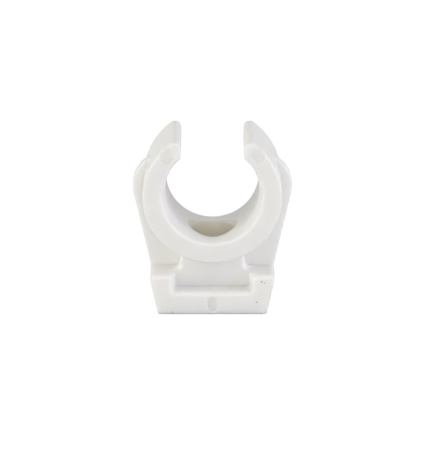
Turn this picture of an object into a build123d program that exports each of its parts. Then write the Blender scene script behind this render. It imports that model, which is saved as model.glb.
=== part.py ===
"""Snap-in pipe clip: one moulding with a spring ring, a screw stem, a foot and a stiffening plate.

The pipe lies along Y. The foot stands on Z = 0, and the mouth of the ring opens upwards.
All sizes are in millimetres.
"""
from build123d import *
import math
import os

# The pipe and the ring that grips it
pipe_diameter = 15.0
pipe_clearance = 0.0           # on the diameter: the ring seats on the pipe
pipe_axis_height = 20.0
ring_wall = 3.6                # at the sides of the pipe
ring_drop = 0.2                # outer circle below the bore centre, so the lips are thinner
clip_length = 12.0             # along the pipe
mouth_width = 10.0
lip_tip_round = 1.0
lead_in_length = 3.0           # the cone at the front of the bore
lead_in_width = 0.5            # how much wider than the bore it is, on the radius
front_bore_round = 0.5
back_bore_round = 0.3
ring_edge_round = 0.4

# The foot that stands on the wall, with a notch in its top that shows the stem
foot_height = 6.6
foot_width_bottom = 17.6
foot_width_top = 20.4
foot_corner_round = 0.8
foot_edge_round = 0.7
sole_trim = 0.4                # cut off the rounds under the foot, so that its lower edges are crisp
notch_width = 11.8             # at the stem, and wider towards the ends of the clip
notch_draft = 12.0             # degrees on each side wall
notch_floor_height = 3.75
notch_corner_round = 0.5
notch_rim_round = 0.9          # where its side walls meet the top of the foot

# The screw, and the stem that holds it
screw_diameter = 4.0
screw_clearance = 0.4
screw_head_diameter = 6.8
screw_head_clearance = 0.4
screw_head_depth = 3.0         # below the lowest line of the bore
head_recess_flare = 22.0       # degrees on each side, above that line
stem_width = 10.5
stem_depth = 6.0
stem_edge_round = 0.7
stem_foot_round = 1.0

# The stiffening plate in the middle of the length
plate_thickness = 2.0
plate_width = 25.5
plate_shoulder_radius = 5.6
plate_foot_width = 19.4
plate_edge_round = 0.3

# Marks that the ejector pins leave on the front
lip_mark_width = 2.2
lip_mark_height = 2.5
lip_mark_offset = 7.25
lip_mark_above_axis = 6.75
foot_mark_width = 1.7
foot_mark_height = 2.3
foot_mark_centre_height = 1.75
mark_depth = 0.25

# Overlap of the stem and the plate with what they grow out of
root_depth = 1.0

# Two heights or depths closer than this are the same
same_place = 0.001

bore_radius = (pipe_diameter + pipe_clearance) / 2
ring_radius = bore_radius + ring_wall
half_length = clip_length / 2
ring_centre_height = pipe_axis_height - ring_drop
bore_floor_height = pipe_axis_height - bore_radius
notch_depth = (clip_length - stem_depth) / 2
notch_end_half = notch_width / 2 + notch_depth * math.tan(math.radians(notch_draft))


def along_pipe(profile, length):
    """A profile in the XZ plane, thickened by the same amount to the front and the back."""
    return extrude(Plane.XZ * profile, amount=length / 2, both=True)


def end_edges(solid, length):
    """The edges that lie in the front and back faces of a solid of this length."""
    return solid.edges().filter_by(lambda edge: abs(abs(edge.center().Y) - length / 2) < same_place)


def box_profile(width, bottom, top):
    """A rectangle in the XZ plane, centred across the clip."""
    return Pos(0, (bottom + top) / 2) * Rectangle(width, top - bottom)


def ring_core():
    """The disc that ends half-way into the ring wall: what joins the ring stops there."""
    return Pos(0, ring_centre_height) * Circle(ring_radius - ring_wall / 2)


def mouth_profile():
    """The gap between the lips, flared over the round of each lip tip."""
    half_mouth = mouth_width / 2
    above_ring = ring_centre_height + ring_radius + ring_wall
    slot = box_profile(mouth_width, pipe_axis_height, above_ring)
    tip_x = half_mouth + lip_tip_round
    tip_z = ring_centre_height + math.sqrt((ring_radius - lip_tip_round) ** 2 - tip_x**2)
    lean = math.atan2(tip_z - ring_centre_height, tip_x)
    step_x = math.cos(lean)
    step_z = math.sin(lean)
    past_round = lip_tip_round + ring_wall
    flare = make_face(
        Polyline(
            (half_mouth, tip_z),
            (tip_x, tip_z),
            (tip_x + past_round * step_x, tip_z + past_round * step_z),
            (half_mouth, tip_z + past_round * step_z),
            close=True,
        )
    )
    flare = flare - Pos(tip_x, tip_z) * Circle(lip_tip_round)
    return slot + flare + mirror(flare, Plane.YZ)


def pipe_bore():
    """What the bore takes away: turned about the pipe, with a lead-in at the front and rounded ends."""
    front_radius = bore_radius + lead_in_width
    outside = front_radius + ring_wall
    wall = make_face(
        Polyline(
            (front_radius, -half_length),
            (bore_radius, lead_in_length - half_length),
            (bore_radius, half_length),
            (outside, half_length),
            (outside, -half_length),
            close=True,
        )
    )
    front_rim = wall.vertices().sort_by_distance((front_radius, -half_length, 0))[0]
    wall = fillet(front_rim, front_bore_round)
    back_rim = wall.vertices().sort_by_distance((bore_radius, half_length, 0))[0]
    wall = fillet(back_rim, back_bore_round)
    hollow = Pos(outside / 2, 0) * Rectangle(outside, clip_length) - wall
    return Pos(0, 0, pipe_axis_height) * revolve(hollow, Axis.Y)


def spring_ring():
    """The open ring: a mouth with rounded lips, rounded outside edges, and the bore."""
    disc = Pos(0, ring_centre_height) * Circle(ring_radius)
    pipe = Pos(0, pipe_axis_height) * Circle(bore_radius)
    ring = along_pipe(disc - pipe - mouth_profile(), clip_length)
    outline = [
        edge
        for edge in end_edges(ring, clip_length)
        if edge.geom_type != GeomType.CIRCLE
        or edge.radius > ring_radius - same_place
        or edge.radius < bore_radius - same_place
    ]
    return fillet(outline, ring_edge_round) - pipe_bore()


def notch(side):
    """What is cut from one end of the foot: down to the notch floor, and in as far as the stem."""
    inner_half = notch_width / 2
    inner_y = side * stem_depth / 2
    outer_y = side * half_length
    plan = make_face(
        Polyline(
            (-inner_half, inner_y),
            (inner_half, inner_y),
            (notch_end_half, outer_y),
            (-notch_end_half, outer_y),
            close=True,
        )
    )
    block = extrude(Pos(0, 0, notch_floor_height) * plan, amount=foot_height, dir=(0, 0, 1))
    floor_sides = block.edges().filter_by(
        lambda edge: abs(edge.center().Z - notch_floor_height) < same_place
        and abs(edge.center().X) > same_place
    )
    return fillet(floor_sides, notch_corner_round)


def foot():
    """The tapered foot, notched at both ends, with all its outside edges rounded."""
    half_top = foot_width_top / 2
    side_slope = (foot_width_top - foot_width_bottom) / 2 / foot_height
    half_bottom = foot_width_bottom / 2 - side_slope * sole_trim
    outline = make_face(
        Polyline(
            (-half_bottom, -sole_trim),
            (half_bottom, -sole_trim),
            (half_top, foot_height),
            (-half_top, foot_height),
            close=True,
        )
    )
    outline = fillet(outline.vertices(), foot_corner_round)
    block = along_pipe(outline, clip_length) - notch(-1) - notch(1)
    rims = block.edges().filter_by(
        lambda edge: abs(edge.center().Z - foot_height) < same_place
        and stem_depth / 2 + same_place < abs(edge.center().Y) < half_length - same_place
        and abs(edge.center().X) < notch_end_half
    )
    block = fillet(rims, notch_rim_round)
    block = fillet(end_edges(block, clip_length), foot_edge_round)
    return block - along_pipe(box_profile(foot_width_top, -foot_height, 0), 2 * clip_length)


def screw_stem():
    """The column round the screw, from the foot up into the ring, with a round at its foot."""
    below_ledge = foot_height - root_depth
    column = box_profile(stem_width, below_ledge, pipe_axis_height)
    seat = box_profile(stem_width + 2 * stem_foot_round, below_ledge, foot_height)
    flare = box_profile(stem_width + 2 * stem_foot_round, foot_height, foot_height + stem_foot_round)
    for side in (-1, 1):
        centre_x = side * (stem_width / 2 + stem_foot_round)
        flare = flare - Pos(centre_x, foot_height + stem_foot_round) * Circle(stem_foot_round)
    stem = along_pipe(column + seat + flare, stem_depth)
    sides = end_edges(stem, stem_depth).filter_by(
        lambda edge: foot_height + same_place < edge.center().Z < pipe_axis_height - same_place
    )
    stem = fillet(sides, stem_edge_round)
    return stem - along_pipe(ring_core(), clip_length)


def stiffening_plate():
    """The plate at mid-length: round shoulders beside the ring, and straight sides down to the foot."""
    shoulder_x = plate_width / 2 - plate_shoulder_radius
    half_foot = plate_foot_width / 2
    foot_level = foot_height - root_depth
    shoulders = [
        Pos(side * shoulder_x, pipe_axis_height) * Circle(plate_shoulder_radius) for side in (-1, 1)
    ]
    foot_line = Line((-half_foot, foot_level), (half_foot, foot_level))
    outline = make_hull(shoulders[0].edges() + shoulders[1].edges() + [foot_line])
    plate = along_pipe(outline, plate_thickness)
    plate = fillet(end_edges(plate, plate_thickness), plate_edge_round)
    return plate - along_pipe(ring_core(), clip_length)


def screw_bore():
    """The hole for the screw, wide at the top for its head, and flared where the ring floor rises."""
    head_radius = (screw_head_diameter + screw_head_clearance) / 2
    shank_radius = (screw_diameter + screw_clearance) / 2
    seat_height = bore_floor_height - screw_head_depth
    flare_height = head_radius / 2
    flare_radius = head_radius + flare_height * math.tan(math.radians(head_recess_flare))
    standing = (Align.CENTER, Align.CENTER, Align.MIN)
    shank = Cylinder(shank_radius, pipe_axis_height, align=standing)
    head = Pos(0, 0, seat_height) * Cylinder(head_radius, screw_head_depth, align=standing)
    flare = Pos(0, 0, bore_floor_height) * Cone(head_radius, flare_radius, flare_height, align=standing)
    return shank + head + flare


def pin_mark(x, z, width, height):
    """A shallow upright oval in the front face."""
    oval = SlotOverall(height, width, rotation=90)
    front = Plane(origin=(x, -half_length, z), x_dir=(1, 0, 0), z_dir=(0, -1, 0))
    return extrude(front * oval, amount=-mark_depth)


def pipe_clip():
    """The whole moulding."""
    clip = spring_ring() + screw_stem() + foot() + stiffening_plate()
    clip = clip - screw_bore()
    lip_mark_height_z = pipe_axis_height + lip_mark_above_axis
    for side in (-1, 1):
        clip = clip - pin_mark(side * lip_mark_offset, lip_mark_height_z, lip_mark_width, lip_mark_height)
    return clip - pin_mark(0, foot_mark_centre_height, foot_mark_width, foot_mark_height)


os.makedirs("parts", exist_ok=True)
clip = pipe_clip()
clip.label = "pipe_clip"
export_step(clip, "parts/pipe_clip.step")
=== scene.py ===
import math

import bpy
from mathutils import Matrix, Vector


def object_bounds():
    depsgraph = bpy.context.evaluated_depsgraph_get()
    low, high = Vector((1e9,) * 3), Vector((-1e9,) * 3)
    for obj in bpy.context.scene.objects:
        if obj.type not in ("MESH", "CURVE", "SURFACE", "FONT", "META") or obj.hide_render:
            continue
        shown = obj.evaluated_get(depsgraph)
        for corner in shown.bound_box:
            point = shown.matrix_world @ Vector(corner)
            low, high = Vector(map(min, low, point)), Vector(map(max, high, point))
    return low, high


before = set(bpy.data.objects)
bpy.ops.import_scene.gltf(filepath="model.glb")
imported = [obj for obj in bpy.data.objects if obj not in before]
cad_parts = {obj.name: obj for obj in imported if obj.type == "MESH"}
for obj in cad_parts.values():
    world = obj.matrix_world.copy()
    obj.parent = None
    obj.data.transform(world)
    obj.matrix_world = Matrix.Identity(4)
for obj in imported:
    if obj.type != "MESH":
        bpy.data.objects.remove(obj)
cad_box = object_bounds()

# A snap-in pipe clip, moulded in one piece from white polypropylene.
# Lengths are in metres, and millimetres are written as a number times MM.
MM = 0.001

# The photograph: the longer side of its frame, and where the camera stood
FRAME_HEIGHT_PX = 465
FOCAL_PX = 2870
CAMERA_ELEVATION = math.radians(19.74)
CAMERA_DISTANCE = 461.4 * MM
CAMERA_TARGET = Vector((0, 0, 15 * MM))
TARGET_LEFT_PX = 2.65          # of the middle of the frame
TARGET_ABOVE_PX = 18.66

# The plastic: its white in two neighbouring shades, and a yellower white painted inside the screw hole as
# the warm shade deep in the hole
CLOUDY_WHITE = "#EBEAE8"
CLEAR_WHITE = "#EEEEEC"
SCREW_HOLE_PAINTED_SHADE = "#EEEBE1"
SPECK_GREY = "#B5B1A7"

# The hole for the screw, with a flared recess for its head, which bound the painted shade inside the hole
SHANK_HOLE_RADIUS = 2.2 * MM
HEAD_RECESS_RADIUS = 3.6 * MM
HEAD_SEAT_HEIGHT = 9.5 * MM
RING_FLOOR_HEIGHT = 12.5 * MM
RECESS_FLARE_ANGLE = math.radians(22)
RECESS_FLARE_HEIGHT = 1.8 * MM
RECESS_FLARE_WIDTH = RECESS_FLARE_HEIGHT * math.tan(RECESS_FLARE_ANGLE)
HOLE_MARGIN = 0.1 * MM         # so that the painted shade covers the walls themselves

# Specks in the front of the foot: across, height and radius in millimetres
SPECKS = ((7.9, 5.6, 0.16), (8.35, 5.4, 0.12), (7.1, 2.1, 0.15), (-6.4, 0.4, 0.12))
SPECK_CORE = 0.6               # shares of the radius, between which a speck fades out
SPECK_RIM = 1.2
FRONT_Y = cad_box[0].y

# The sheet of paper that the clip stands on
FLOOR_SIZE = 4.0
PAPER_WHITE = "#E0E0E0"
PAPER_SEEN = "#909090"         # what the camera sees of it, under its glow

# The studio: light from all round, and lamps that face the clip.
# Each lamp has a name, a place, a width, a level and a colour.
PLAIN_WHITE = "#FFFFFF"
AMBIENT_LEVEL = 0.44
SOFTBOXES = (
    ("front_softbox", (0, -0.90, 0.22), 0.30, 4.25, PLAIN_WHITE),
    ("top_softbox", (0, 0.05, 0.95), 0.60, 0.25, PLAIN_WHITE),
    ("side_softbox_left", (-0.78, -0.38, 0.36), 0.40, 4.6, "#FFF9DC"),
    ("side_softbox_right", (0.78, -0.38, 0.36), 0.40, 4.7, "#E3E2FF"),
    ("low_softbox_left", (-0.88, -0.22, 0.12), 0.20, 11.0, "#E0E8FF"),
    ("low_softbox_right", (0.88, -0.22, 0.12), 0.20, 9.9, "#FFFCE8"),
    ("back_softbox_left", (-0.62, 0.52, 0.45), 0.45, 0.25, PLAIN_WHITE),
    ("back_softbox_right", (0.62, 0.52, 0.45), 0.45, 0.35, PLAIN_WHITE),
)


def linear(hex_colour):
    """An sRGB hex colour as the linear colour that a socket takes."""
    channels = [int(hex_colour[i : i + 2], 16) / 255 for i in (1, 3, 5)]
    return (*[c / 12.92 if c <= 0.04045 else ((c + 0.055) / 1.055) ** 2.4 for c in channels], 1.0)


def add_node(tree, kind, inputs=(), **settings):
    """A node with its settings, and its inputs as values or as links from other nodes' sockets."""
    node = tree.nodes.new(kind)
    for name, value in settings.items():
        setattr(node, name, value)
    for socket, value in dict(inputs).items():
        if isinstance(value, bpy.types.NodeSocket):
            tree.links.new(value, node.inputs[socket])
        else:
            node.inputs[socket].default_value = value
    return node


def empty_material(name):
    """A material without any nodes yet."""
    material = bpy.data.materials.new(name)
    material.use_nodes = True
    material.node_tree.nodes.clear()
    return material


def inside_screw_hole(tree, place):
    """1 on the walls of the screw hole and of the recess for the screw's head, where the painted shade
    goes, and else 0.
    """
    across = add_node(
        tree, "ShaderNodeVectorMath", {0: place, 1: (1, 1, 0)}, operation="MULTIPLY"
    )
    off_axis = add_node(
        tree, "ShaderNodeVectorMath", {0: across.outputs["Vector"]}, operation="LENGTH"
    )
    height = add_node(tree, "ShaderNodeSeparateXYZ", {"Vector": place})
    above_seat = add_node(
        tree,
        "ShaderNodeMath",
        {0: height.outputs["Z"], 1: HEAD_SEAT_HEIGHT - HOLE_MARGIN},
        operation="GREATER_THAN",
    )
    recess_radius = add_node(
        tree,
        "ShaderNodeMapRange",
        {
            "Value": height.outputs["Z"],
            "From Min": RING_FLOOR_HEIGHT,
            "From Max": RING_FLOOR_HEIGHT + RECESS_FLARE_HEIGHT,
            "To Min": HEAD_RECESS_RADIUS + HOLE_MARGIN,
            "To Max": HEAD_RECESS_RADIUS + RECESS_FLARE_WIDTH + HOLE_MARGIN,
        },
    )
    hole_radius = add_node(
        tree,
        "ShaderNodeMix",
        {
            "Factor": above_seat.outputs["Value"],
            "A": SHANK_HOLE_RADIUS + HOLE_MARGIN,
            "B": recess_radius.outputs["Result"],
        },
    )
    return add_node(
        tree,
        "ShaderNodeMath",
        {0: off_axis.outputs["Value"], 1: hole_radius.outputs["Result"]},
        operation="LESS_THAN",
    ).outputs["Value"]


def on_speck(tree, place):
    """1 on the few grey specks in the front of the foot, fading to 0 round each of them."""
    share = 0.0
    for x, z, radius in SPECKS:
        away = add_node(
            tree,
            "ShaderNodeVectorMath",
            {0: place, 1: (x * MM, FRONT_Y, z * MM)},
            operation="DISTANCE",
        )
        speck = add_node(
            tree,
            "ShaderNodeMapRange",
            {
                "Value": away.outputs["Value"],
                "From Min": radius * MM * SPECK_CORE,
                "From Max": radius * MM * SPECK_RIM,
                "To Min": 1.0,
                "To Max": 0.0,
            },
        )
        share = add_node(
            tree, "ShaderNodeMath", {0: speck.outputs["Result"], 1: share}, operation="MAXIMUM"
        ).outputs["Value"]
    return share


def moulded_polypropylene():
    """White polypropylene as it leaves the mould: satin, a little cloudy, and translucent.

    Light spreads a few millimetres inside, so edges glow and shadows are soft.
    """
    flow_mark_size = 5 * MM      # soft clouds where the melt met
    flow_mark_detail = 3.0
    grain_size = 0.35 * MM       # grain of the mould, drawn coarser than the real one so that it shows
    grain_detail = 2.0
    grain_depth = 0.02 * MM
    grain_strength = 0.25
    smoothest = 0.42             # roughness, from the smoothest to the roughest of the grain
    roughest = 0.56
    polypropylene_ior = 1.49
    scatter_depth = 2.0 * MM
    scatter_colour = (1.0, 0.92, 0.8)

    material = empty_material("moulded_white_polypropylene")
    tree = material.node_tree
    place = add_node(tree, "ShaderNodeTexCoord").outputs["Object"]

    clouds = add_node(
        tree,
        "ShaderNodeTexNoise",
        {"Vector": place, "Scale": 1 / flow_mark_size, "Detail": flow_mark_detail},
    )
    clouded = add_node(
        tree,
        "ShaderNodeMix",
        {"Factor": clouds.outputs["Fac"], "A": linear(CLOUDY_WHITE), "B": linear(CLEAR_WHITE)},
        data_type="RGBA",
    )
    # Painted shade: the walls of the screw hole get a yellower white, which stands in for the warm shade
    # deep in the hole.
    with_hole_shade_painted = add_node(
        tree,
        "ShaderNodeMix",
        {
            "Factor": inside_screw_hole(tree, place),
            "A": clouded.outputs["Result"],
            "B": linear(SCREW_HOLE_PAINTED_SHADE),
        },
        data_type="RGBA",
    )
    specked = add_node(
        tree,
        "ShaderNodeMix",
        {"Factor": on_speck(tree, place), "A": with_hole_shade_painted.outputs["Result"], "B": linear(SPECK_GREY)},
        data_type="RGBA",
    )

    grain = add_node(
        tree,
        "ShaderNodeTexNoise",
        {"Vector": place, "Scale": 1 / grain_size, "Detail": grain_detail},
    )
    satin = add_node(
        tree,
        "ShaderNodeMapRange",
        {"Value": grain.outputs["Fac"], "To Min": smoothest, "To Max": roughest},
    )
    bumps = add_node(
        tree,
        "ShaderNodeBump",
        {"Height": grain.outputs["Fac"], "Strength": grain_strength, "Distance": grain_depth},
    )
    plastic = add_node(
        tree,
        "ShaderNodeBsdfPrincipled",
        {
            "Base Color": specked.outputs["Result"],
            "Roughness": satin.outputs["Result"],
            "Normal": bumps.outputs["Normal"],
            "IOR": polypropylene_ior,
            "Subsurface Weight": 1.0,
            "Subsurface Radius": scatter_colour,
            "Subsurface Scale": scatter_depth,
        },
    )
    add_node(tree, "ShaderNodeOutputMaterial", {"Surface": plastic.outputs["BSDF"]})
    return material


def seen_directly(tree):
    """1 where the camera sees a surface, straight or in a reflection or through glass, and else 0."""
    path = add_node(tree, "ShaderNodeLightPath")
    mirrored = add_node(
        tree,
        "ShaderNodeMath",
        {0: path.outputs["Is Camera Ray"], 1: path.outputs["Is Glossy Ray"]},
        operation="MAXIMUM",
    )
    return add_node(
        tree,
        "ShaderNodeMath",
        {0: mirrored.outputs["Value"], 1: path.outputs["Is Transmission Ray"]},
        operation="MAXIMUM",
    ).outputs["Value"]


def white_sweep_paper():
    """Matt white paper, lit up to the white of the photograph, that still takes the clip's shadow."""
    glow_level = 0.84            # white that doesn't depend on the light, where the camera sees the paper
    material = empty_material("white_sweep_paper")
    tree = material.node_tree
    paper = add_node(tree, "ShaderNodeBsdfDiffuse", {"Color": linear(PAPER_WHITE)})
    shaded = add_node(tree, "ShaderNodeBsdfDiffuse", {"Color": linear(PAPER_SEEN)})
    glow = add_node(tree, "ShaderNodeEmission", {"Color": linear(PLAIN_WHITE), "Strength": glow_level})
    lit = add_node(
        tree,
        "ShaderNodeAddShader",
        {0: shaded.outputs["BSDF"], 1: glow.outputs["Emission"]},
    )
    shown = add_node(
        tree,
        "ShaderNodeMixShader",
        {0: seen_directly(tree), 1: paper.outputs["BSDF"], 2: lit.outputs["Shader"]},
    )
    add_node(tree, "ShaderNodeOutputMaterial", {"Surface": shown.outputs["Shader"]})
    return material


def studio_world():
    """Even white light from all round, and plain white where the camera sees past the floor."""
    world = bpy.data.worlds.new("white_studio")
    world.use_nodes = True
    tree = world.node_tree
    tree.nodes.clear()
    ambient = add_node(
        tree, "ShaderNodeBackground", {"Color": linear(PLAIN_WHITE), "Strength": AMBIENT_LEVEL}
    )
    backdrop = add_node(tree, "ShaderNodeBackground", {"Color": linear(PLAIN_WHITE), "Strength": 1.0})
    shown = add_node(
        tree,
        "ShaderNodeMixShader",
        {0: seen_directly(tree), 1: ambient.outputs["Background"], 2: backdrop.outputs["Background"]},
    )
    add_node(tree, "ShaderNodeOutputWorld", {"Surface": shown.outputs["Shader"]})
    bpy.context.scene.world = world


def softbox(name, place, width, level, hex_colour):
    """A square lamp that faces the clip; level is how bright its face is, where 1 is white."""
    lamp = bpy.data.lights.new(name, "AREA")
    lamp.shape = "SQUARE"
    lamp.size = width
    lamp.energy = level * math.pi * width**2
    lamp.color = linear(hex_colour)[:3]
    holder = bpy.data.objects.new(name, lamp)
    holder.location = place
    holder.rotation_euler = (CAMERA_TARGET - Vector(place)).to_track_quat("-Z", "Y").to_euler()
    bpy.context.scene.collection.objects.link(holder)


def floor():
    """The flat sheet of paper under the clip."""
    half = FLOOR_SIZE / 2
    mesh = bpy.data.meshes.new("floor")
    corners = [(-half, -half, 0), (half, -half, 0), (half, half, 0), (-half, half, 0)]
    mesh.from_pydata(corners, [], [(0, 1, 2, 3)])
    mesh.materials.append(white_sweep_paper())
    plane = bpy.data.objects.new("floor", mesh)
    bpy.context.scene.collection.objects.link(plane)


def camera():
    """The camera at the photograph's place, in front of the clip and a little above it."""
    data = bpy.data.cameras.new("camera")
    data.lens = data.sensor_width * FOCAL_PX / FRAME_HEIGHT_PX
    data.shift_x = TARGET_LEFT_PX / FRAME_HEIGHT_PX
    data.shift_y = -TARGET_ABOVE_PX / FRAME_HEIGHT_PX
    data.clip_start = CAMERA_DISTANCE / 10
    holder = bpy.data.objects.new("camera", data)
    back = Vector((0, -math.cos(CAMERA_ELEVATION), math.sin(CAMERA_ELEVATION)))
    holder.location = CAMERA_TARGET + back * CAMERA_DISTANCE
    holder.rotation_euler = (-back).to_track_quat("-Z", "Y").to_euler()
    bpy.context.scene.collection.objects.link(holder)
    bpy.context.scene.camera = holder


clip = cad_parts["pipe_clip"]
clip.data.materials.clear()
clip.data.materials.append(moulded_polypropylene())

floor()
studio_world()
for lamp_values in SOFTBOXES:
    softbox(*lamp_values)
camera()
bpy.context.scene.view_settings.view_transform = "Standard"
